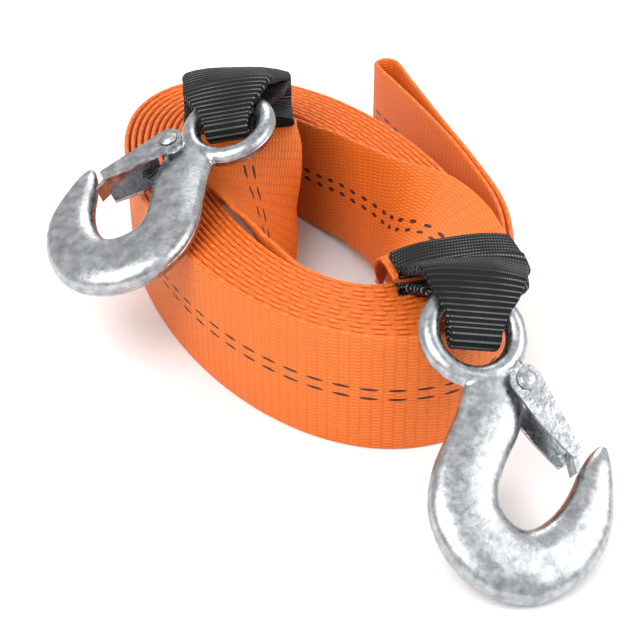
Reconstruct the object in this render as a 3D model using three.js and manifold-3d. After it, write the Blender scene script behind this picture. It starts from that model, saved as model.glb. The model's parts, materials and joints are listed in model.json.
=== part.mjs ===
// Tow strap: a polyester webbing strap folded in half and wound into an oval coil that stands
// on its edges, with a forged eye hook in the sewn loop at each end. Millimetres, +Z up.
// The coil's fold is its outer end, and both hooked ends come out of the hole in the middle.
import * as THREE from 'three';
import { mergeVertices } from 'three/addons/utils/BufferGeometryUtils.js';
import Module from 'manifold-3d';

const wasm = await Module();
wasm.setup();

const GAP = 0.35; // clearance between pieces that touch on the real strap

// Webbing
const STRAP_WIDTH = 50;
const STRAP_THICKNESS = 2;

// The coil: two sheared ovals, the hole and the outside, with the layers spread between them
const COIL_CENTRE = new THREE.Vector2(-8, 25);
const COIL_AXIS_ANGLE = THREE.MathUtils.degToRad(-67);
const COIL_HALF_LENGTH = 114;
const COIL_HALF_WIDTH = 63;
const COIL_SKEW = 0.18;
const COIL_FULLNESS = 2.15;
const TURNS = 6;
const STEPS_PER_TURN = 26;
const LAYER_GAP = 0.6; // at the sides
const END_SPREAD = 6; // the wall is this much thicker at the coil's two ends

// The doubled tail that stands off the coil and ends in the fold
const TAIL_START = 3; // steps past the last turn where the tail leaves the coil
const TAIL_POINTS = [[72.5, 6], [64.5, 46], [50.5, 92], [37.5, 131], [32.5, 146]];
const TAIL_STEPS = 20;
const FOLD_RADIUS = 5.2;
const FOLD_STEPS = 8;

// Each end's way out of the coil, from its sleeve inwards: turn, layer, height from 0 in the
// wall to 1 on top, and lean of the top edge away from the hole in degrees
const RIGHT_END = [
  [0.0775, 7.8, 1, 90],
  [0.0925, 6.1, 1, 90],
  [0.1125, 4.4, 0.99, 87],
  [0.1375, 2.6, 0.93, 70],
  [0.1625, 0.9, 0.79, 45],
  [0.1875, 0, 0.61, 26],
  [0.2125, 0.1, 0.48, 14],
  [0.235, 0.3, 0.4, 8],
  [0.255, 0.2, 0.34, 5],
  [0.275, 0, 0.28, 2.5],
  [0.305, 0.1, 0.2, 1],
  [0.34, 0.4, 0.08, 0],
];
const RIGHT_JOIN = 10; // step of the first turn at which the end has reached the wall
const LEFT_END = [
  [0.575, -5.5, 1, 90],
  [0.62, -5.7, 1, 90],
  [0.655, -5.8, 0.98, 86],
  [0.687, -5.5, 0.88, 76],
  [0.7175, -5.1, 0.66, 64],
  [0.7425, -4.9, 0.46, 48],
  [0.7675, -4.2, 0.3, 36],
  [0.7925, -3.1, 0.18, 23],
  [0.82, -1.6, 0.09, 13],
  [0.8425, 0, 0.035, 4],
  [0.8675, 1.4, 0.01, 0],
];
const LEFT_JOIN = 23;
const END_STEPS = 3; // between two points of an end
const RIDE_HEIGHT = 6; // middle of the strap's flat ends above the coil's top

// Hook: forged eye slip hook, in its own plane, with the eye's centre at the origin
const EYE_RADIUS = 15.4; // to the middle of the wire
const EYE_WIRE = 3.9;
const EYE_SIDES = 10;
const EYE_STEPS = 30;
const SHANK = [
  // across, along, half width, half thickness
  [5, -14, 7.5, 3.7],
  [3.5, -21, 10.2, 4.1],
  [0.5, -30, 11, 4.5],
  [-5.5, -40, 10.8, 5.0],
  [-11, -50, 11.2, 5.5],
  [-13, -60, 12, 5.9],
  [-10.2, -69.5, 12.4, 6.2],
  [-4, -76.8, 12.4, 6.4],
  [4.6, -80, 12, 6.4],
  [13.2, -78.2, 11.2, 6.3],
  [21.2, -73, 10.2, 6.0],
  [27, -66.4, 9, 5.6],
  [30.7, -59.4, 7.4, 5.0],
  [33.4, -52.8, 5.9, 4.3],
  [36, -47, 4.0, 3.4],
  [38.2, -42.6, 1.6, 1.8],
];
const SHANK_SIDES = 12;
const SHANK_FULLNESS = 2.5;

// Latch, with its rivet and spring
const RIVET_AT = new THREE.Vector2(13.2, -19.7);
const LATCH_ANGLE = THREE.MathUtils.degToRad(-65); // of the latch, from the across direction
const LUG_RADIUS = 4.6;
const LATCH_HEAD_RADIUS = 5.6;
const LUG_FLOOR = -5.85;
const LUG_TOP = 3.6;
const LATCH_SHEET = 1.3;
const LATCH_INSIDE = 12.4;
const LATCH_LENGTH = 29.5;
const TONGUE_LENGTH = 4.5;
const TONGUE_WIDTH = 7;
const RIVET_RADIUS = 2.1;
const RIVET_HEAD_RADIUS = 3.8;
const RIVET_HEAD_HEIGHT = 1.5;
const SPRING_WIRE = 0.8;
const SPRING_RADIUS = 3.2;
const SPRING_COILS = 1; // the wire's turns have to stay clear of each other in the latch's depth
const SPRING_SIDES = 6;

// Sleeves over the sewn loops, each leg of a loop being one ply
const PLY = 3;
const SLEEVE_WIDTH = 47;
const SLEEVE_STEPS = 2;
const LOOP_CAP_STEPS = 6;
const END_STRAIGHT = 3; // the sleeve goes straight on this far past the strap's end
const SLEEVE_OVERLAP = 5; // stations of the strap's end that lie in the sleeve

// Hooks' places: the eye's centre, and the way from the eye to the bowl in the plan
const RIGHT_HOOK = { eye: [51.7, -84, STRAP_WIDTH + 3], heading: -82, roll: 6, flipped: false, pull: 7 };
const LEFT_HOOK = { eye: [-36.3, 25.5, STRAP_WIDTH + 25], heading: -127.6, roll: 0, flipped: true, pull: 36 };

const layerPitch = STRAP_THICKNESS + LAYER_GAP;
const layers = 2 * TURNS + 1;
const wall = layers * layerPitch;
const midHeight = STRAP_WIDTH / 2;
const overTop = STRAP_WIDTH + RIDE_HEIGHT;
const besideStrap = STRAP_THICKNESS / 2 + 2 * GAP + PLY / 2;
const alongside = (PLY + GAP) / 2;

// The sleeves' middle lines from the strap's end to the eye: x, y, z, width and half opening
const RIGHT_SLEEVE = [];
const LEFT_SLEEVE = [
  [-36, 79.5, overTop + 3, SLEEVE_WIDTH],
  [-36, 82, overTop + 9, SLEEVE_WIDTH],
  [-36, 78, overTop + 15, SLEEVE_WIDTH],
  [-36, 69, overTop + 19, 45],
  [-36, 57, overTop + 22.5, 41, 3.8],
];
// Then each ply round the eye's far side: reach in eye radii, height off the eye's own plane, width
const UPPER_PLY = [
  [1.32, 3.6, 38],
  [1.2, 5.5, 37],
  [1, 6.3, 34],
  [0.62, 6.2, 28],
  [0.35, 5.6, 22],
  [0.1, 4.2, 20],
  [-0.08, 3.9, 18],
];
const LOWER_PLY = [
  [1, -6.2, 28],
  [0.62, -5.7, 16],
  [0.35, -3.9, 17],
  [0.1, -2.8, 18],
  [-0.08, -2.5, 17],
];

const orange = new THREE.MeshStandardMaterial({ color: 0xf06a24, roughness: 0.75, metalness: 0 });
const black = new THREE.MeshStandardMaterial({ color: 0x1e1e20, roughness: 0.85, metalness: 0 });
const zinc = new THREE.MeshStandardMaterial({ color: 0xa5a8aa, roughness: 0.38, metalness: 1 });
const pressed = new THREE.MeshStandardMaterial({ color: 0xb2b5b7, roughness: 0.3, metalness: 1 });
const wire = new THREE.MeshStandardMaterial({ color: 0x8f9396, roughness: 0.3, metalness: 1 });

const up = new THREE.Vector3(0, 0, 1);
const smooth = (t) => THREE.MathUtils.smoothstep(t, 0, 1);

// Closed body through a row of rings, each a list of the same number of points
function loft(rings) {
  const sides = rings[0].length;
  const faces = [];
  for (let row = 0; row + 1 < rings.length; row += 1) {
    for (let side = 0; side < sides; side += 1) {
      const a = row * sides + side;
      const b = row * sides + ((side + 1) % sides);
      faces.push(a, b, b + sides, a, b + sides, a + sides);
    }
  }
  const last = (rings.length - 1) * sides;
  for (let side = 1; side + 1 < sides; side += 1) {
    faces.push(0, side + 1, side, last, last + side, last + side + 1);
  }
  const corners = rings.flat().flatMap((point) => point.toArray());
  const geometry = new THREE.BufferGeometry();
  geometry.setAttribute('position', new THREE.Float32BufferAttribute(corners, 3));
  geometry.setIndex(faces);
  return geometry;
}

// Flat band through stations, each with a centre, the direction across, the face and the width
function band(stations, thickness) {
  const corners = [[1, 1], [1, -1], [-1, -1], [-1, 1]];
  return loft(stations.map(({ centre, across, face, width }) => corners.map(([side, depth]) => centre.clone()
    .addScaledVector(across, (side * width) / 2)
    .addScaledVector(face, (depth * thickness) / 2))));
}

function toSolid(geometry) {
  const bare = geometry.clone();
  bare.deleteAttribute('normal');
  bare.deleteAttribute('uv');
  const merged = mergeVertices(bare, 1e-4);
  const vertProperties = new Float32Array(merged.attributes.position.array);
  const triVerts = new Uint32Array(merged.index.array);
  return new wasm.Manifold(new wasm.Mesh({ numProp: 3, vertProperties, triVerts }));
}

function toGeometry(solid) {
  const { vertProperties, triVerts } = solid.getMesh();
  const geometry = new THREE.BufferGeometry();
  geometry.setAttribute('position', new THREE.BufferAttribute(new Float32Array(vertProperties), 3));
  geometry.setIndex(new THREE.BufferAttribute(new Uint32Array(triVerts), 1));
  return geometry;
}

function named(name, geometry, material) {
  const mesh = new THREE.Mesh(geometry, material);
  mesh.name = name;
  return mesh;
}

// The coil's plan
const along = new THREE.Vector2(Math.cos(COIL_AXIS_ANGLE), Math.sin(COIL_AXIS_ANGLE));
const acrossCoil = new THREE.Vector2(-along.y, along.x);
const oval = (t) => Math.sign(t) * Math.abs(t) ** (2 / COIL_FULLNESS);

// Point of the plan at a turn, counted from the front end, and a layer, counted from the hole
function coilPoint(turn, layer) {
  const angle = 2 * Math.PI * turn;
  const inwards = 1 - layer / layers;
  const side = (COIL_HALF_WIDTH - wall * inwards) * oval(Math.sin(angle));
  const length = (COIL_HALF_LENGTH - (wall + END_SPREAD) * inwards) * oval(Math.cos(angle));
  return COIL_CENTRE.clone()
    .addScaledVector(along, length + COIL_SKEW * side)
    .addScaledVector(acrossCoil, side);
}

// A point of a band's middle line, with its lean from upright and its width
function linePoint(x, y, z, lean = 0, width = STRAP_WIDTH) {
  return { centre: new THREE.Vector3(x, y, z), lean: THREE.MathUtils.degToRad(lean), width };
}

// Gives each point of a line its direction across the band and its face
function withFrames(line) {
  return line.map((point, index) => {
    const before = line[Math.max(index - 1, 0)].centre;
    const after = line[Math.min(index + 1, line.length - 1)].centre;
    const tangent = after.clone().sub(before).normalize();
    const right = new THREE.Vector3().crossVectors(tangent, up).normalize();
    const raised = new THREE.Vector3().crossVectors(right, tangent);
    const across = raised.multiplyScalar(Math.cos(point.lean)).addScaledVector(right, Math.sin(point.lean));
    return { ...point, tangent, across, face: new THREE.Vector3().crossVectors(across, tangent) };
  });
}

// Smooth line through points, with a few steps between each two of them
function smoothLine(points, steps) {
  const places = new THREE.CatmullRomCurve3(points.map((point) => point.centre), false, 'centripetal');
  const sizes = new THREE.CatmullRomCurve3(
    points.map((point) => new THREE.Vector3(point.lean, point.width, point.opening ?? 0)),
    false, 'catmullrom', 0.3);
  const count = (points.length - 1) * steps;
  return Array.from({ length: count + 1 }, (_, index) => {
    const size = sizes.getPoint(index / count);
    return { centre: places.getPoint(index / count), lean: size.x, width: size.y, opening: size.z };
  });
}

// Two strands beside a middle line of stations, joined by a round end past its last station
function folded(sides, capSteps) {
  const tip = sides.at(-1);
  const radius = Math.abs(tip.opening);
  const shifted = (station, sign) => ({
    ...station, centre: station.centre.clone().addScaledVector(station.face, sign * station.opening),
  });
  const cap = Array.from({ length: capSteps - 1 }, (_, index) => {
    const angle = (Math.PI * (index + 1)) / capSteps;
    const centre = tip.centre.clone()
      .addScaledVector(tip.face, tip.opening * Math.cos(angle))
      .addScaledVector(tip.tangent, radius * Math.sin(angle));
    return { ...tip, centre };
  });
  const back = sides.map((station) => shifted(station, -1)).reverse();
  return [...sides.map((station) => shifted(station, 1)), ...cap, ...back];
}

// Works out the tangent and the face of stations that have a centre and a direction across
function faced(stations) {
  return stations.map((station, index) => {
    const before = stations[Math.max(index - 1, 0)].centre;
    const after = stations[Math.min(index + 1, stations.length - 1)].centre;
    const tangent = after.clone().sub(before).normalize();
    const across = station.across.clone().addScaledVector(tangent, -station.across.dot(tangent)).normalize();
    return { ...station, tangent, across, face: new THREE.Vector3().crossVectors(across, tangent) };
  });
}

// Webbing: the outer strand from the right end, the tail and its fold, the inner strand to the left end
const innerLayer = (turn) => 2 * turn;
const outerLayer = (turn) => 2 * turn + smooth((turn - 0.25) / 0.35);

function woundLine(layerAt, from, to) {
  return Array.from({ length: Math.abs(to - from) + 1 }, (_, index) => {
    const turn = (from + Math.sign(to - from) * index) / STEPS_PER_TURN;
    const plan = coilPoint(turn, layerAt(turn));
    return linePoint(plan.x, plan.y, midHeight);
  });
}

const tailStep = TURNS * STEPS_PER_TURN + TAIL_START;

function endLine(points, layerAt, join) {
  const placed = points.map(([turn, layer, share, lean]) => {
    const plan = coilPoint(turn, layer);
    return linePoint(plan.x, plan.y, midHeight + share * (overTop - midHeight), lean);
  });
  return smoothLine([...placed, ...woundLine(layerAt, join, join + 1)], END_STEPS).slice(0, -END_STEPS);
}

function tailLine() {
  const lead = woundLine((turn) => innerLayer(turn) + 0.5, tailStep - 2, tailStep);
  const points = [...lead, ...TAIL_POINTS.map(([x, y]) => linePoint(x, y, midHeight))];
  const curve = new THREE.CatmullRomCurve3(points.map((point) => point.centre), false, 'centripetal');
  const start = (lead.length - 1) / (points.length - 1);
  return Array.from({ length: TAIL_STEPS + 1 }, (_, step) => {
    const share = step / TAIL_STEPS;
    const centre = curve.getPoint(start + (1 - start) * share);
    const opening = layerPitch / 2 + (FOLD_RADIUS - layerPitch / 2) * smooth((share - 0.45) / 0.5);
    return { centre, lean: 0, width: STRAP_WIDTH, opening: -opening };
  });
}

function strapStations() {
  return withFrames([
    ...endLine(RIGHT_END, outerLayer, RIGHT_JOIN),
    ...woundLine(outerLayer, RIGHT_JOIN, tailStep).slice(1, -1),
    ...folded(withFrames(tailLine()), FOLD_STEPS),
    ...woundLine(innerLayer, tailStep, LEFT_JOIN).slice(1, -1),
    ...endLine(LEFT_END, innerLayer, LEFT_JOIN).reverse().map((point) => ({ ...point, lean: -point.lean })),
  ]);
}

// Hook
function superEllipse(fullness, sides) {
  const bend = (t) => Math.sign(t) * Math.abs(t) ** (2 / fullness);
  return Array.from({ length: sides }, (_, side) => {
    const angle = (2 * Math.PI * (side + 0.5)) / sides;
    return [bend(Math.cos(angle)), bend(Math.sin(angle))];
  });
}

function shankGeometry() {
  const centres = new THREE.CatmullRomCurve3(SHANK.map(([x, y]) => new THREE.Vector3(x, y, 0)));
  const halves = new THREE.CatmullRomCurve3(SHANK.map(([, , w, t]) => new THREE.Vector3(w, t, 0)));
  const section = superEllipse(SHANK_FULLNESS, SHANK_SIDES);
  const steps = 2 * (SHANK.length - 1);
  const rings = Array.from({ length: steps + 1 }, (_, step) => {
    const centre = centres.getPoint(step / steps);
    const tangent = centres.getTangent(step / steps);
    const half = halves.getPoint(step / steps);
    const side = new THREE.Vector3(-tangent.y, tangent.x, 0);
    return section.map(([across, depth]) => centre.clone()
      .addScaledVector(side, across * half.x)
      .addScaledVector(up, depth * half.y));
  });
  return loft(rings);
}

function cylinderAt(radius, depth, plan, height, sides = 24) {
  return new THREE.CylinderGeometry(radius, radius, depth, sides).rotateX(Math.PI / 2)
    .translate(plan.x, plan.y, height);
}

function hookGeometry() {
  const eye = toSolid(new THREE.TorusGeometry(EYE_RADIUS, EYE_WIRE, EYE_SIDES, EYE_STEPS));
  const lug = toSolid(cylinderAt(LUG_RADIUS, LUG_TOP - LUG_FLOOR, RIVET_AT, (LUG_TOP + LUG_FLOOR) / 2));
  const bore = toSolid(cylinderAt(RIVET_RADIUS + GAP, 3 * LATCH_INSIDE, RIVET_AT, 0));
  return toGeometry(eye.add(toSolid(shankGeometry())).add(lug).subtract(bore));
}

// Latch, drawn along its own length with the rivet at the origin, then turned into its place
function outlinePrism(outline, depth) {
  const shape = new THREE.Shape(outline.map(([x, y]) => new THREE.Vector2(x, y)));
  return new THREE.ExtrudeGeometry(shape, { depth, bevelEnabled: false }).translate(0, 0, -depth / 2);
}

function latchGeometry() {
  const head = Array.from({ length: 9 }, (_, index) => {
    const angle = THREE.MathUtils.degToRad(95 + 21.25 * index);
    return [LATCH_HEAD_RADIUS * Math.cos(angle), LATCH_HEAD_RADIUS * Math.sin(angle)];
  });
  const end = LATCH_LENGTH;
  const side = [...head, [8, -5.4], [18, -4.2], [end, -1.6], [end, 2.4]];
  const outer = toSolid(outlinePrism(side, LATCH_INSIDE + 2 * LATCH_SHEET));
  const web = LATCH_SHEET;
  const hollow = [[-9, -9], [end + 1, -9], [end + 1, 2.3 - web], [6.4, 4.8 - web], [5.4, 9], [-9, 9]];
  const channel = outer.subtract(toSolid(outlinePrism(hollow, LATCH_INSIDE)));
  const tongue = [[end - 3, 2.6 - web], [end + TONGUE_LENGTH, -1.7], [end + TONGUE_LENGTH, -0.4], [end, 2.35],
    [end - 3, 2.65]];
  const bore = toSolid(cylinderAt(RIVET_RADIUS + GAP, 3 * LATCH_INSIDE, new THREE.Vector2(), 0));
  return toGeometry(channel.add(toSolid(outlinePrism(tongue, TONGUE_WIDTH))).subtract(bore));
}

function rivetGeometry() {
  const half = LATCH_INSIDE / 2 + LATCH_SHEET + GAP;
  const head = RIVET_HEAD_HEIGHT;
  const profile = [[0, -half - head], [RIVET_HEAD_RADIUS * 0.6, -half - head * 0.85],
    [RIVET_HEAD_RADIUS, -half],
    [RIVET_RADIUS, -half], [RIVET_RADIUS, half], [RIVET_HEAD_RADIUS, half],
    [RIVET_HEAD_RADIUS * 0.6, half + head * 0.85], [0, half + head]];
  return new THREE.LatheGeometry(profile.map(([x, y]) => new THREE.Vector2(x, y)), 20).rotateX(Math.PI / 2);
}

function springGeometry() {
  const floor = LUG_TOP + GAP + SPRING_WIRE / 2;
  const roof = LATCH_INSIDE / 2 - GAP - SPRING_WIRE / 2;
  const points = [new THREE.Vector3(14, 1.2, roof), new THREE.Vector3(9, 2, roof)];
  const steps = 12 * SPRING_COILS;
  for (let step = 0; step <= steps; step += 1) {
    const angle = Math.PI / 2 + (2 * Math.PI * step) / 12;
    points.push(new THREE.Vector3(SPRING_RADIUS * Math.cos(angle), SPRING_RADIUS * Math.sin(angle),
      roof + ((floor - roof) * step) / steps));
  }
  points.push(new THREE.Vector3(-4, 3.3, floor), new THREE.Vector3(-7.5, 3.3, floor));
  const curve = new THREE.CatmullRomCurve3(points, false, 'centripetal');
  const ring = new THREE.EllipseCurve(0, 0, SPRING_WIRE / 2, SPRING_WIRE / 2).getPoints(SPRING_SIDES).slice(1);
  return new THREE.ExtrudeGeometry(new THREE.Shape(ring),
    { steps: 44, extrudePath: curve, bevelEnabled: false });
}

function hookBasis({ heading, roll, flipped }, slope) {
  const angle = THREE.MathUtils.degToRad(heading);
  const drop = THREE.MathUtils.degToRad(slope);
  const downwards = new THREE.Vector3(
    Math.cos(angle) * Math.cos(drop), Math.sin(angle) * Math.cos(drop), -Math.sin(drop));
  const eyewards = downwards.clone().negate();
  const level = new THREE.Vector3().crossVectors(up, downwards).normalize().multiplyScalar(flipped ? -1 : 1);
  level.applyAxisAngle(eyewards, THREE.MathUtils.degToRad(roll));
  return new THREE.Matrix4().makeBasis(level, eyewards, new THREE.Vector3().crossVectors(level, eyewards));
}

const rim = Array.from({ length: 120 }, (_, index) => coilPoint(index / 120, layers));

function insideCoil(x, y) {
  let inside = false;
  rim.forEach((a, index) => {
    const b = rim[(index + 1) % rim.length];
    if (a.y > y !== b.y > y && x < ((b.x - a.x) * (y - a.y)) / (b.y - a.y) + a.x) {
      inside = !inside;
    }
  });
  return inside;
}

// Slope at which a hook, let down about its eye, first touches the floor or the coil's top
function restingSlope(place, geometry) {
  const corner = new THREE.Vector3();
  const vertices = geometry.attributes.position;
  const clear = (slope) => {
    const matrix = hookBasis(place, slope).setPosition(...place.eye);
    for (let index = 0; index < vertices.count; index += 1) {
      corner.fromBufferAttribute(vertices, index).applyMatrix4(matrix);
      const support = insideCoil(corner.x, corner.y) ? STRAP_WIDTH + 2 * GAP : 0;
      if (corner.z < support) {
        return false;
      }
    }
    return true;
  };
  let low = 0;
  let high = 60;
  while (high - low > 0.01) {
    const middle = (low + high) / 2;
    if (clear(middle)) {
      low = middle;
    } else {
      high = middle;
    }
  }
  return low;
}

function hookGroup(side, place) {
  const body = hookGeometry();
  const placed = new THREE.Group();
  placed.applyMatrix4(hookBasis(place, restingSlope(place, body)).setPosition(...place.eye));
  const latch = new THREE.Group();
  latch.position.set(RIVET_AT.x, RIVET_AT.y, 0);
  latch.rotation.z = LATCH_ANGLE;
  latch.add(named(`latch_${side}`, latchGeometry(), pressed),
    named(`latch_rivet_${side}`, rivetGeometry(), zinc),
    named(`latch_spring_${side}`, springGeometry(), wire));
  placed.add(named(`hook_${side}`, body, zinc), latch);
  return placed;
}

// Smooth strip through stations that have a centre, a direction across and a width
function smoothStrip(points, steps) {
  const centres = new THREE.CatmullRomCurve3(points.map((point) => point.centre), false, 'centripetal');
  const sides = new THREE.CatmullRomCurve3(points.map((point) => point.across), false, 'catmullrom', 0.3);
  const widths = new THREE.CatmullRomCurve3(
    points.map((point) => new THREE.Vector3(point.width, 0, 0)), false, 'catmullrom', 0.3);
  const count = (points.length - 1) * steps;
  return Array.from({ length: count + 1 }, (_, index) => {
    const share = index / count;
    return { centre: centres.getPoint(share), across: sides.getPoint(share), width: widths.getPoint(share).x };
  });
}

// Sleeve: a strip from below the strap's end, round the far side of the hook's eye, back above it
function sleeveGeometry(strapEnd, between, hook, { pull, flipped }) {
  const turned = new THREE.Matrix4().makeRotationZ(THREE.MathUtils.degToRad(-pull)).premultiply(hook.matrix);
  const [eyeSide, outwards, above] = [0, 1, 2].map(
    (column) => new THREE.Vector3().setFromMatrixColumn(turned, column));
  above.multiplyScalar(flipped ? -1 : 1);
  const inEye = (ply) => ply.map(([reach, height, width]) => ({
    centre: new THREE.Vector3(0, reach * EYE_RADIUS, 0).applyMatrix4(turned).addScaledVector(above, height),
    across: eyeSide,
    width,
  }));
  const onStrap = strapEnd.map(({ centre, across }) => ({
    centre, across, opening: besideStrap, width: SLEEVE_WIDTH,
  }));
  const pastEnd = onStrap.at(-1).centre.clone().addScaledVector(strapEnd.at(-1).tangent, END_STRAIGHT);
  const way = between.map(([x, y, z, width, opening]) => ({
    centre: new THREE.Vector3(x, y, z), across: onStrap.at(-1).across, opening: opening ?? alongside, width,
  }));
  const limb = { centre: new THREE.Vector3(0, EYE_RADIUS, 0).applyMatrix4(turned), across: eyeSide };
  const middle = faced([...onStrap, { ...onStrap.at(-1), centre: pastEnd }, ...way, limb]).slice(0, -1);
  const upperSide = Math.sign(middle.at(-1).face.dot(above));
  const strip = (ply, side) => smoothStrip([
    ...middle.map((station) => ({
      ...station, centre: station.centre.clone().addScaledVector(station.face, side * station.opening),
    })),
    ...inEye(ply),
  ], SLEEVE_STEPS);
  const lower = strip(LOWER_PLY, -upperSide);
  const upper = strip(UPPER_PLY, upperSide);
  const [from, to] = [lower.at(-1), upper.at(-1)];
  const radius = from.centre.distanceTo(to.centre) / 2;
  const cap = Array.from({ length: LOOP_CAP_STEPS - 1 }, (_, index) => {
    const angle = (Math.PI * (index + 1)) / LOOP_CAP_STEPS;
    const share = (1 - Math.cos(angle)) / 2;
    const centre = from.centre.clone().lerp(to.centre, share)
      .addScaledVector(outwards, -radius * Math.sin(angle));
    return { centre, across: eyeSide, width: THREE.MathUtils.lerp(from.width, to.width, share) };
  });
  return band(faced([...lower, ...cap, ...upper.reverse()]), PLY);
}

const strap = strapStations();
const hooks = { right: hookGroup('right', RIGHT_HOOK), left: hookGroup('left', LEFT_HOOK) };
const turnedRound = (station) => ({ ...station, tangent: station.tangent.clone().negate() });
const rightEnd = strap.slice(0, SLEEVE_OVERLAP).reverse();
const leftEnd = strap.slice(-SLEEVE_OVERLAP);

const layout = new THREE.Group();
layout.add(
  named('strap_webbing', band(strap, STRAP_THICKNESS), orange),
  named('sleeve_right',
    sleeveGeometry(rightEnd.map(turnedRound), RIGHT_SLEEVE, hooks.right, RIGHT_HOOK), black),
  named('sleeve_left', sleeveGeometry(leftEnd, LEFT_SLEEVE, hooks.left, LEFT_HOOK), black),
  hooks.right, hooks.left,
);
layout.updateMatrixWorld(true);

// Every piece is baked into one frame, with the origin at the middle of the underside
const extent = new THREE.Box3().setFromObject(layout, true);
const origin = extent.getCenter(new THREE.Vector3()).setZ(extent.min.z);
const group = new THREE.Group();
const pieces = [];
layout.traverse((object) => {
  if (object.isMesh) {
    pieces.push(object);
  }
});
pieces.forEach((piece) => {
  const geometry = piece.geometry.clone().applyMatrix4(piece.matrixWorld)
    .translate(-origin.x, -origin.y, -origin.z);
  group.add(named(piece.name, geometry, piece.material));
});

export default group;
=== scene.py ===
# %% [markdown]
# # Tow strap
# An orange webbing strap, folded in half and wound into an oval coil that stands on its edges.
# Each end is sewn into a black sleeve round the eye of a zinc plated slip hook.
# Everything is in metres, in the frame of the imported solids.

# %%
import json
import math

import bmesh
import bpy
from mathutils import Matrix, Vector


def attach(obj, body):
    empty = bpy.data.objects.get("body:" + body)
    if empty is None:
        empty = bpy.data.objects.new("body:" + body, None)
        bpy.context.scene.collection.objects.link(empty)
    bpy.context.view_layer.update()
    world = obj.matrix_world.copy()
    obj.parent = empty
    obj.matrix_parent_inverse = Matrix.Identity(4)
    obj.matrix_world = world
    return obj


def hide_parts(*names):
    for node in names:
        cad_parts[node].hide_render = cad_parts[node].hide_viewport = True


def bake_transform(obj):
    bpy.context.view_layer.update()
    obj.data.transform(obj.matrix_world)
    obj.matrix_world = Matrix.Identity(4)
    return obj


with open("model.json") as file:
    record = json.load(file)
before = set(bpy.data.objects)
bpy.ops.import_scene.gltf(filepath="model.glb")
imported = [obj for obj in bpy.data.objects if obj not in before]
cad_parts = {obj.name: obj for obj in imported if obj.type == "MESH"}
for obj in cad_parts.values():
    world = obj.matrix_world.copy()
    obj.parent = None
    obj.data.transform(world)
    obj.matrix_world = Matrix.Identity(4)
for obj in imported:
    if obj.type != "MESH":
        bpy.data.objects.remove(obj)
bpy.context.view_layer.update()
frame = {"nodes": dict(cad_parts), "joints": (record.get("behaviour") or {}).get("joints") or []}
MM = 0.001

# %% [markdown]
# ## Camera
# It looks down at 35 degrees from the side of the hooks, through a 73 mm lens.
# The picture is square, so the lens is worked out from the picture's width in pixels.

# %%
PICTURE_WIDTH = 640
FOCAL_PIXELS = 1300
CAMERA_DISTANCE = 0.539
CAMERA_ELEVATION = math.radians(35)
AIM = Vector((0.0044, 0.0043, 0))

camera_data = bpy.data.cameras.new("camera")
camera_data.sensor_width = 36
camera_data.lens = 36 * FOCAL_PIXELS / PICTURE_WIDTH
camera = bpy.data.objects.new("camera", camera_data)
bpy.context.collection.objects.link(camera)
toward = Vector((0, math.cos(CAMERA_ELEVATION), -math.sin(CAMERA_ELEVATION)))
camera.location = AIM - CAMERA_DISTANCE * toward
camera.rotation_euler = toward.to_track_quat("-Z", "Y").to_euler()
bpy.context.scene.camera = camera

# %% [markdown]
# ## Bands from the frame
# The webbing and the sleeves are bands, whose solids are rows of four corners each.
# Starting at a cut end, each next row is whatever touches the last one, so the row order,
# the direction across and the width all come from the frame.


# %%
START_SIDE = Vector((1, 0, 1))  # a band starts at the end that lies further this way
EDGE_SIDE = Vector((-1, -0.3, -2))  # and its direction across points this way


def merged_copy(node):
    mesh = bmesh.new()
    mesh.from_mesh(frame["nodes"][node].data)
    bmesh.ops.remove_doubles(mesh, verts=mesh.verts, dist=0.01 * MM)
    mesh.normal_update()
    return mesh


def cut_end(mesh, narrowest):
    """Corners of one square-cut end: two coplanar triangles with a corner of the band all round."""
    for edge in mesh.edges:
        if edge.calc_length() < narrowest or len(edge.link_faces) != 2:
            continue
        one, other = edge.link_faces
        if one.normal.dot(other.normal) < 0.999:
            continue
        rim = [side for face in (one, other) for side in face.edges if side is not edge]
        beyond = [face for side in rim for face in side.link_faces if face not in (one, other)]
        if all(abs(face.normal.dot(one.normal)) < 0.35 for face in beyond):
            return {corner for face in (one, other) for corner in face.verts}
    raise ValueError("no cut end")


def in_order(stations):
    """The same start and the same edge first, whatever order the solid's corners are stored in."""
    if (stations[0][0] - stations[-1][0]).dot(START_SIDE) < 0:
        stations = stations[::-1]
    turn = 1 if sum((across for _, across in stations), Vector()).dot(EDGE_SIDE) > 0 else -1
    return [(centre, turn * across) for centre, across in stations]


def band_stations(node, narrowest):
    """Centre and direction across, as long as the width, at each row of corners of a band."""
    mesh = merged_copy(node)
    row = cut_end(mesh, narrowest)
    seen = set(row)
    stations = []
    while row:
        corners = sorted((corner.co.copy() for corner in row), key=tuple)
        first = corners.pop(0)
        mate = min(corners, key=lambda corner: (corner - first).length)
        corners.remove(mate)
        near, far = (first + mate) / 2, sum(corners, Vector()) / len(corners)
        across = near - far
        if stations and across.dot(stations[-1][1]) < 0:
            across.negate()
        stations.append(((near + far) / 2, across))
        row = {edge.other_vert(corner) for corner in row for edge in corner.link_edges} - seen
        seen |= row
    mesh.free()
    return in_order(stations)


# %% [markdown]
# ## Finer bands
# A curve through the stations, with its slope at each taken from both neighbours, gives
# rows close enough to read as round.


# %%
def slopes(values, lengths):
    result = []
    for index, value in enumerate(values):
        before = (value - values[index - 1]) / lengths[index - 1] if index else None
        after = (values[index + 1] - value) / lengths[index] if index + 1 < len(values) else None
        if before is None or after is None:
            result.append(after if before is None else before)
            continue
        share = lengths[index - 1] / (lengths[index - 1] + lengths[index])
        result.append(before.lerp(after, share))
    return result


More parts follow.
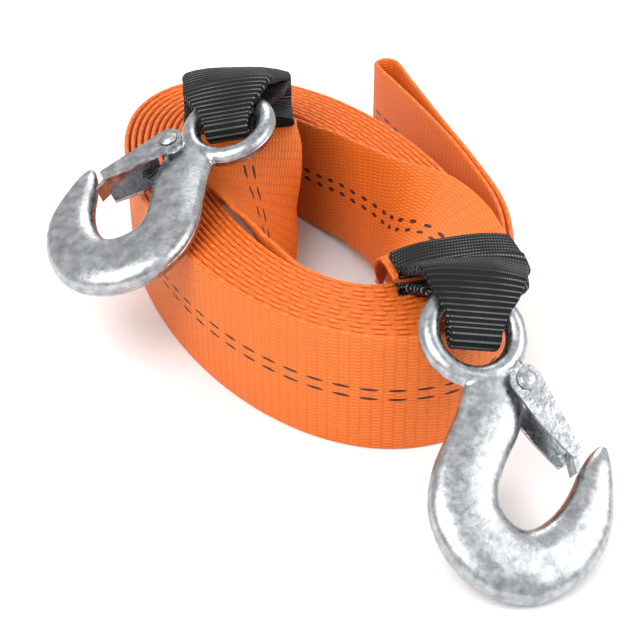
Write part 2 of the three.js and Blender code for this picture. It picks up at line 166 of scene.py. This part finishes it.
def curve_point(start, end, slope_start, slope_end, length, t):
    return (
        start * (2 * t**3 - 3 * t**2 + 1)
        + slope_start * (length * (t**3 - 2 * t**2 + t))
        + end * (3 * t**2 - 2 * t**3)
        + slope_end * (length * (t**3 - t**2))
    )


def finer(stations, spacing):
    centres = [centre for centre, _ in stations]
    sides = [across for _, across in stations]
    lengths = [(b - a).length for a, b in zip(centres, centres[1:])]
    centre_slopes, side_slopes = slopes(centres, lengths), slopes(sides, lengths)
    rows = []
    for index, length in enumerate(lengths):
        parts = max(1, round(length / spacing))
        for part in range(parts):
            t = part / parts
            rows.append((
                curve_point(*centres[index:index + 2], *centre_slopes[index:index + 2], length, t),
                curve_point(*sides[index:index + 2], *side_slopes[index:index + 2], length, t),
            ))
    rows.append(stations[-1])
    return rows


# %% [markdown]
# ## Band meshes
# The section has soft edges, as a woven selvage has. The map runs in metres: along the band,
# and across it, with the second face 0.1 m further on, so that a pattern can tell the faces apart.

# %%
BACK_FACE = 0.1
EDGE_PROFILE = [(0, 0.3), (0.35 * MM, 0.78), (0.95 * MM, 1)]
FACE_SHARES = [0.12, 0.25, 0.38, 0.5, 0.62, 0.75, 0.88]


def section(width, thickness, crown=0.0):
    """Points round a band's section: place across from its first edge, and depth."""
    start = [(inset, depth * thickness / 2) for inset, depth in EDGE_PROFILE]
    middle = [(share * width, thickness / 2) for share in FACE_SHARES]
    end = [(width - inset, depth) for inset, depth in reversed(start)]
    front = start + middle + end
    back = [(place, -depth) for place, depth in reversed(front)]
    crowned = [(place, depth + crown * (1 - abs(2 * place / width - 1) ** 3)) for place, depth in front]
    return crowned + back


def outer_side(rows):
    """1 or -1: which face of a looped band is outside, told from its turn in the eye."""
    middle = len(rows) // 2
    centre, across = rows[middle]
    face = across.cross(rows[middle + 1][0] - rows[middle - 1][0])
    return 1 if face.dot(centre - (rows[0][0] + rows[-1][0]) / 2) > 0 else -1


def band_mesh(name, rows, thickness, crown=None):
    """A band through rows. crown gives how far its outer face swells at a width."""
    mesh = bmesh.new()
    rings, run = [], [0]
    outside = outer_side(rows) if crown else 1
    for index, (centre, across) in enumerate(rows):
        before, after = rows[max(index - 1, 0)][0], rows[min(index + 1, len(rows) - 1)][0]
        face = across.cross(after - before).normalized()
        width = across.length
        side = across / width
        corners = section(width, thickness, crown(width) if crown else 0.0)
        rings.append([
            mesh.verts.new(centre + side * (place - width / 2) + face * (outside * depth)) for place, depth in corners
        ])
        if index:
            run.append(run[-1] + (centre - rows[index - 1][0]).length)
    places = [place for place, _ in section(rows[0][1].length, thickness)]
    half = len(places) // 2
    layer = mesh.loops.layers.uv.new("along_across")
    for row in range(len(rings) - 1):
        for index in range(len(places)):
            after = (index + 1) % len(places)
            face = mesh.faces.new((rings[row][index], rings[row][after], rings[row + 1][after], rings[row + 1][index]))
            face.smooth = True
            back = BACK_FACE if index >= half else 0
            for loop, along, point in zip(face.loops, (row, row, row + 1, row + 1), (index, after, after, index)):
                loop[layer].uv = (run[along], places[point] + back)
    mesh.faces.new(rings[0])
    mesh.faces.new(reversed(rings[-1]))
    bmesh.ops.recalc_face_normals(mesh, faces=mesh.faces)
    data = bpy.data.meshes.new(name)
    mesh.to_mesh(data)
    mesh.free()
    piece = bpy.data.objects.new(name, data)
    bpy.context.collection.objects.link(piece)
    return piece, run[-1]


# %% [markdown]
# ## Material tools

# %%
def linear(hex_code):
    """An sRGB hex colour as linear values."""
    parts = [int(hex_code[place:place + 2], 16) / 255 for place in (0, 2, 4)]
    return [part / 12.92 if part <= 0.04045 else ((part + 0.055) / 1.055) ** 2.4 for part in parts] + [1]


def add(tree, kind, inputs=None, **settings):
    """A node with its settings, and its inputs as values or as links."""
    made = tree.nodes.new(kind)
    for name, value in settings.items():
        setattr(made, name, value)
    for place, source in (inputs or {}).items():
        if isinstance(source, bpy.types.NodeSocket):
            tree.links.new(source, made.inputs[place])
        else:
            made.inputs[place].default_value = source
    return made


def new_material(name):
    material = bpy.data.materials.new(name)
    material.use_nodes = True
    return material, material.node_tree, material.node_tree.nodes["Principled BSDF"]


def maths(tree, operation, first, second=0.0, third=0.0):
    return add(tree, "ShaderNodeMath", {0: first, 1: second, 2: third}, operation=operation).outputs[0]


def mix(tree, share, first, second):
    made = add(tree, "ShaderNodeMix", {0: share, 6: first, 7: second}, data_type="RGBA")
    return made.outputs[2]


# %% [markdown]
# ## Woven polyester webbing
# Flat orange multifilament yarn. The eye gets fine ribs 1.4 mm apart along the strap, in
# blocks that step by half a rib every 4 mm, and two rows of dark tracer stitches down the
# middle: long and thin on one face, short and thick on the other.

# %%
RIB_PITCH = 1.4
BLOCK_LENGTH = 4.0
TRACER_PITCH = 10.0
TRACER_ROW = 2.0
STRAP_HALF_WIDTH = 25.0


def band_map(tree):
    """Millimetres along and across a band, and 1 on its second face."""
    place = add(tree, "ShaderNodeSeparateXYZ", {0: add(tree, "ShaderNodeTexCoord").outputs["UV"]}).outputs
    back = maths(tree, "GREATER_THAN", place[1], 0.75 * BACK_FACE)
    along = maths(tree, "MULTIPLY", place[0], 1000)
    across = maths(tree, "MULTIPLY", maths(tree, "MULTIPLY_ADD", back, -BACK_FACE, place[1]), 1000)
    return along, across, back


def webbing_material():
    material, tree, shader = new_material("woven_polyester_webbing")
    along, across, back = band_map(tree)
    block = maths(tree, "FLOOR", maths(tree, "DIVIDE", along, BLOCK_LENGTH))
    turns = maths(tree, "MULTIPLY_ADD", block, 0.5, maths(tree, "DIVIDE", across, RIB_PITCH))
    rib = maths(tree, "MULTIPLY_ADD", maths(tree, "SINE", maths(tree, "MULTIPLY", turns, 2 * math.pi)), 0.5, 0.5)
    in_block = maths(tree, "PINGPONG", along, BLOCK_LENGTH / 2)
    seam = maths(tree, "SMOOTH_MIN", maths(tree, "MULTIPLY", in_block, 1.4), 1.0, 0.2)
    height = maths(tree, "MULTIPLY", rib, seam)
    noise = add(tree, "ShaderNodeTexNoise", {
        "Vector": add(tree, "ShaderNodeTexCoord").outputs["Object"], "Scale": 900.0, "Detail": 3.0})
    # Painted shade: the orange is lighter on the rib crests and darker in the rib grooves and at the block seams, on
    # top of a random yarn tone from the noise.
    shade = maths(tree, "MULTIPLY_ADD", noise.outputs[0], 0.5, maths(tree, "MULTIPLY", height, 0.6))
    orange = mix(tree, shade, linear("C05008"), linear("ED7715"))
    offset = maths(tree, "SUBTRACT", maths(tree, "MODULO", along, TRACER_PITCH), TRACER_PITCH / 2)
    half_length = maths(tree, "MULTIPLY_ADD", back, -0.9, 3.3)
    half_width = maths(tree, "MULTIPLY_ADD", back, 0.35, 0.55)
    off_row = maths(tree, "SUBTRACT", maths(tree, "ABSOLUTE", maths(tree, "SUBTRACT", across, STRAP_HALF_WIDTH)),
                    TRACER_ROW)
    lens = maths(tree, "ADD", maths(tree, "POWER", maths(tree, "ABSOLUTE", maths(tree, "DIVIDE", offset, half_length)), 2.0),
                 maths(tree, "POWER", maths(tree, "ABSOLUTE", maths(tree, "DIVIDE", off_row, half_width)), 2.0))
    tracer = maths(tree, "LESS_THAN", lens, 1.0)
    tree.links.new(mix(tree, tracer, orange, linear("3A100C")), shader.inputs["Base Color"])
    bump = add(tree, "ShaderNodeBump", {"Strength": 0.55, "Distance": 0.35 * MM,
                                        "Height": maths(tree, "MULTIPLY_ADD", tracer, 0.6, height)})
    tree.links.new(bump.outputs[0], shader.inputs["Normal"])
    shader.inputs["Roughness"].default_value = 0.62
    shader.inputs["Sheen Weight"].default_value = 0.08
    shader.inputs["Sheen Roughness"].default_value = 0.4
    shader.inputs["Sheen Tint"].default_value = linear("FFC09A")
    return material


# %% [markdown]
# ## Black sleeve cloth
# Coarse black polyester whose weft carries a thin grey yarn, so the cloth shows rows of small
# grey dashes across it.

# %%
WEFT_PITCH = 1.9
DASH_PITCH = 1.1


def sleeve_material():
    material, tree, shader = new_material("black_woven_sleeve")
    along, across, _ = band_map(tree)
    row = maths(tree, "DIVIDE", along, WEFT_PITCH)
    number = maths(tree, "FLOOR", row)
    in_row = maths(tree, "PINGPONG", row, 0.5)
    column = maths(tree, "MULTIPLY_ADD", number, 0.5, maths(tree, "DIVIDE", across, DASH_PITCH))
    in_column = maths(tree, "PINGPONG", column, 0.5)
    dash = maths(tree, "MULTIPLY", maths(tree, "GREATER_THAN", in_row, 0.37), maths(tree, "GREATER_THAN", in_column, 0.2))
    # Painted highlight: the grey dashes are brightened and dimmed in large noise patches, standing in for the dashes
    # catching the light on the bends.
    noise = add(tree, "ShaderNodeTexNoise", {
        "Vector": add(tree, "ShaderNodeTexCoord").outputs["Object"], "Scale": 45.0, "Detail": 1.0})
    dash_highlight = add(tree, "ShaderNodeMapRange", {
        "Value": noise.outputs[0], "From Min": 0.4, "From Max": 0.6, "To Min": 0.12, "To Max": 0.8})
    share = maths(tree, "MULTIPLY", dash, dash_highlight.outputs[0])
    tree.links.new(mix(tree, share, linear("0B0B0C"), linear("85878A")), shader.inputs["Base Color"])
    weave = maths(tree, "MULTIPLY_ADD", in_row, 1.2, maths(tree, "MULTIPLY", in_column, 0.8))
    bump = add(tree, "ShaderNodeBump", {"Strength": 0.7, "Distance": 0.5 * MM, "Height": weave})
    tree.links.new(bump.outputs[0], shader.inputs["Normal"])
    shader.inputs["Roughness"].default_value = 0.75
    shader.inputs["Specular IOR Level"].default_value = 0.25
    return material


# %% [markdown]
# ## Zinc plated steel
# Forged and then plated: bright grey, mottled, slightly orange-peeled, with a raised parting
# line where the two dies met, which is a thin ridge in the middle plane of the forging.

# %%
def zinc_material(name, dark, light, rough, plane=None):
    material, tree, shader = new_material(name)
    place = add(tree, "ShaderNodeTexCoord").outputs["Object"]
    cloudy = add(tree, "ShaderNodeTexNoise", {"Vector": place, "Scale": 240.0, "Detail": 5.0, "Roughness": 0.65})
    peel = add(tree, "ShaderNodeTexNoise", {"Vector": place, "Scale": 620.0, "Detail": 3.0})
    share = add(tree, "ShaderNodeMapRange", {"Value": cloudy.outputs[0], "From Min": 0.35, "From Max": 0.65})
    tree.links.new(mix(tree, share.outputs[0], linear(dark), linear(light)), shader.inputs["Base Color"])
    roughness = add(tree, "ShaderNodeMapRange", {
        "Value": peel.outputs[0], "From Min": 0.3, "From Max": 0.7, "To Min": rough - 0.07, "To Max": rough + 0.12})
    tree.links.new(roughness.outputs[0], shader.inputs["Roughness"])
    height = peel.outputs[0]
    if plane:
        point, normal = plane
        off = add(tree, "ShaderNodeVectorMath", {0: place, 1: normal}, operation="DOT_PRODUCT").outputs["Value"]
        depth = maths(tree, "ABSOLUTE", maths(tree, "SUBTRACT", off, point.dot(normal)))
        ridge = add(tree, "ShaderNodeMapRange", {
            "Value": depth, "From Min": 0.9 * MM, "From Max": 0.5 * MM, "To Min": 0.0, "To Max": 1.4})
        height = maths(tree, "ADD", maths(tree, "MULTIPLY", height, 0.35), ridge.outputs[0])
    bump = add(tree, "ShaderNodeBump", {"Strength": 0.5, "Distance": 0.4 * MM, "Height": height})
    tree.links.new(bump.outputs[0], shader.inputs["Normal"])
    shader.inputs["Metallic"].default_value = 1
    return material


# %% [markdown]
# ## Webbing and sleeves
# The strap is one length of 50 mm webbing. A sleeve bends between the strap and its hook.

# %%
WEBBING_THICKNESS = 2 * MM
SLEEVE_THICKNESS = 3 * MM
SLEEVE_SWELL = 3 * MM
SLEEVE_WAIST = 24 * MM
SLEEVE_WIDE = 44 * MM


def make_webbing():
    rows = finer(band_stations("strap_webbing", 40 * MM), 4.5 * MM)
    piece, length = band_mesh("webbing", rows, WEBBING_THICKNESS)
    piece.data.materials.append(webbing_material())
    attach(piece, "strap")
    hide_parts("strap_webbing")
    return piece


def sleeve_crown(width):
    """The padded loop swells where it is wide and lies thin where the eye squeezes it."""
    return SLEEVE_SWELL * min(1, max(0, (width - SLEEVE_WAIST) / (SLEEVE_WIDE - SLEEVE_WAIST)))


def make_sleeve(side, material):
    rows = finer(band_stations(f"sleeve_{side}", 30 * MM), 1.6 * MM)
    piece, length = band_mesh(f"sleeve_cloth_{side}", rows, SLEEVE_THICKNESS, crown=sleeve_crown)
    piece.data.materials.append(material)
    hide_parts(f"sleeve_{side}")
    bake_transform(piece)
    return piece


# %% [markdown]
# ## Hooks
# A hook's own plane comes from its two hinges: it swings about the eye's far side, and its
# latch turns about the rivet, square to the plane. The forging is a torus for the eye, a
# lofted shank and bowl, and a lug for the rivet, melted together by a fine remesh.

# %%
EYE_RADIUS = 15.4 * MM
EYE_WIRE = 3.9 * MM
RIVET_PLACE = (13.2 * MM, -19.7 * MM)
LUG_RADIUS = 4.6 * MM
LUG_SPAN = (-5.85 * MM, 3.6 * MM)
SHANK_FULLNESS = 2.5
SHANK = [
    # across, along, half width, half thickness in millimetres
    (5, -14, 7.5, 3.7), (3.5, -21, 10.2, 4.1), (0.5, -30, 11, 4.5), (-5.5, -40, 10.8, 5),
    (-11, -50, 11.2, 5.5), (-13, -60, 12, 5.9), (-10.2, -69.5, 12.4, 6.2), (-4, -76.8, 12.4, 6.4),
    (4.6, -80, 12, 6.4), (13.2, -78.2, 11.2, 6.3), (21.2, -73, 10.2, 6), (27, -66.4, 9, 5.6),
    (30.7, -59.4, 7.4, 5), (33.4, -52.8, 5.9, 4.3), (36, -47, 4, 3.4), (38.2, -42.6, 1.6, 1.8),
]
REMESH_SIZE = 0.65 * MM


def joint_named(name):
    return next(joint for joint in frame["joints"] if joint["name"] == name)


def hook_plane(side):
    """Matrix of a hook's own frame: across, towards the eye and square to the plane, from the eye."""
    swing, latch = joint_named(f"hook_{side}_swing"), joint_named(f"latch_{side}_spring_hinge")
    across = Vector(swing["axis"]) * (-1 if side == "right" else 1)
    normal = -Vector(latch["axis"])
    eyewards = normal.cross(across)
    limb = Vector(swing["pos_m"])
    turn = Matrix((across, eyewards, normal)).transposed().to_4x4()
    return Matrix.Translation(limb - EYE_RADIUS * eyewards) @ turn, limb, normal.normalized()


def ring(centre, side, normal, half_width, half_depth, fullness, sides=28):
    corners = []
    for step in range(sides):
        angle = 2 * math.pi * step / sides
        x = math.copysign(abs(math.cos(angle)) ** (2 / fullness), math.cos(angle))
        y = math.copysign(abs(math.sin(angle)) ** (2 / fullness), math.sin(angle))
        corners.append(centre + side * (x * half_width) + normal * (y * half_depth))
    return corners


def add_loft(mesh, rings, closed=False):
    rows = [[mesh.verts.new(corner) for corner in corners] for corners in rings]
    if closed:
        rows.append(rows[0])
    for first, second in zip(rows, rows[1:]):
        for index in range(len(first)):
            after = (index + 1) % len(first)
            mesh.faces.new((first[index], first[after], second[after], second[index]))
    if not closed:
        mesh.faces.new(reversed(rows[0]))
        mesh.faces.new(rows[-1])


def shank_rings(up):
    points = [Vector((x, y, 0)) * MM for x, y, _, _ in SHANK]
    halves = [Vector((width, depth, 0)) * MM for _, _, width, depth in SHANK]
    lengths = [(b - a).length for a, b in zip(points, points[1:])]
    point_slopes, half_slopes = slopes(points, lengths), slopes(halves, lengths)
    rings, steps = [], 4
    for index, length in enumerate(lengths):
        for step in range(steps + (index == len(lengths) - 1)):
            t = step / steps
            centre = curve_point(*points[index:index + 2], *point_slopes[index:index + 2], length, t)
            half = curve_point(*halves[index:index + 2], *half_slopes[index:index + 2], length, t)
            tangent = point_slopes[index].lerp(point_slopes[index + 1], t).normalized()
            rings.append(ring(centre, tangent.cross(up), up, half.x, half.y, SHANK_FULLNESS))
    return rings


def make_hook(side):
    matrix, limb, normal = hook_plane(side)
    up = Vector((0, 0, 1))
    mesh = bmesh.new()
    eye = []
    for step in range(72):
        angle = 2 * math.pi * step / 72
        out = Vector((math.cos(angle), math.sin(angle), 0))
        eye.append(ring(out * EYE_RADIUS, out, up, EYE_WIRE, EYE_WIRE, 2))
    add_loft(mesh, eye, closed=True)
    add_loft(mesh, shank_rings(up))
    lug = [ring(Vector((*RIVET_PLACE, height)), Vector((1, 0, 0)), Vector((0, 1, 0)), LUG_RADIUS, LUG_RADIUS, 2)
           for height in LUG_SPAN]
    add_loft(mesh, lug)
    bmesh.ops.transform(mesh, matrix=matrix, verts=mesh.verts)
    bmesh.ops.recalc_face_normals(mesh, faces=mesh.faces)
    rough_data = bpy.data.meshes.new("rough_forging")
    mesh.to_mesh(rough_data)
    mesh.free()
    rough = bpy.data.objects.new("rough_forging", rough_data)
    bpy.context.collection.objects.link(rough)
    melt = rough.modifiers.new("melt", "REMESH")
    melt.mode = "VOXEL"
    melt.voxel_size = REMESH_SIZE
    even = rough.modifiers.new("even", "SMOOTH")
    even.factor = 0.5
    even.iterations = 6
    bpy.context.view_layer.update()
    data = bpy.data.meshes.new_from_object(rough.evaluated_get(bpy.context.evaluated_depsgraph_get()))
    bpy.data.objects.remove(rough)
    data.name = f"forged_hook_{side}"
    data.polygons.foreach_set("use_smooth", [True] * len(data.polygons))
    data.materials.clear()
    data.materials.append(zinc_material(f"plated_forging_{side}", "94979A", "C0C3C5", 0.3, (limb, normal)))
    piece = bpy.data.objects.new(f"forged_hook_{side}", data)
    bpy.context.collection.objects.link(piece)
    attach(piece, f"hook_{side}")
    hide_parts(f"hook_{side}")
    return limb


# %% [markdown]
# ## Latches, rivets and springs
# Their solids have the right shape, so they stay, with their own steel, and softened edges on the latches and rivets.

# %%
def dress(node, material, soften):
    piece = frame["nodes"][node]
    piece.data.materials.clear()
    piece.data.materials.append(material)
    weld = piece.modifiers.new("weld", "WELD")
    weld.merge_threshold = 0.01 * MM
    if soften:
        bevel = piece.modifiers.new("soft_edges", "BEVEL")
        bevel.width = soften
        bevel.segments = 2
        bevel.limit_method = "ANGLE"
        bevel.angle_limit = math.radians(40)


make_webbing()
sleeve_cloth = sleeve_material()
pressed_steel = zinc_material("pressed_plated_steel", "8B8E91", "BDC0C2", 0.28)
rivet_steel = zinc_material("rivet_steel", "8E9194", "C4C7C9", 0.3)
spring_steel = zinc_material("spring_wire", "6E7174", "A6A9AB", 0.28)
for side in ("right", "left"):
    limb = make_hook(side)
    make_sleeve(side, sleeve_cloth)
    dress(f"latch_{side}", pressed_steel, 0.25 * MM)
    dress(f"latch_rivet_{side}", rivet_steel, 0.3 * MM)
    dress(f"latch_spring_{side}", spring_steel, 0)

# %% [markdown]
# ## Floor and light
# A plain pale floor, a wide soft light above the camera's left and a weaker one from the right.

# %%
def make_floor():
    mesh = bmesh.new()
    bmesh.ops.create_grid(mesh, x_segments=1, y_segments=1, size=4)
    data = bpy.data.meshes.new("floor")
    mesh.to_mesh(data)
    mesh.free()
    floor = bpy.data.objects.new("floor", data)
    floor.location.z = -0.2 * MM
    bpy.context.collection.objects.link(floor)
    material, _, shader = new_material("pale_floor")
    shader.inputs["Base Color"].default_value = linear("F4F4F4")
    shader.inputs["Roughness"].default_value = 0.9
    data.materials.append(material)


def make_light(name, place, size, power):
    data = bpy.data.lights.new(name, "AREA")
    data.size = size
    data.energy = power
    light = bpy.data.objects.new(name, data)
    light.location = place
    light.rotation_euler = (-Vector(place)).to_track_quat("-Z", "Y").to_euler()
    bpy.context.collection.objects.link(light)


make_floor()
make_light("soft_key", (-0.5, -0.7, 1.0), 0.9, 14)
make_light("soft_fill", (0.9, -0.3, 0.7), 0.8, 6)
make_light("soft_back", (0.1, 0.9, 0.9), 0.7, 5)
world = bpy.data.worlds.new("studio")
world.use_nodes = True
world.node_tree.nodes["Background"].inputs[0].default_value = linear("FFFFFF")
world.node_tree.nodes["Background"].inputs[1].default_value = 0.75
bpy.context.scene.world = world
bpy.context.scene.view_settings.view_transform = "Standard"
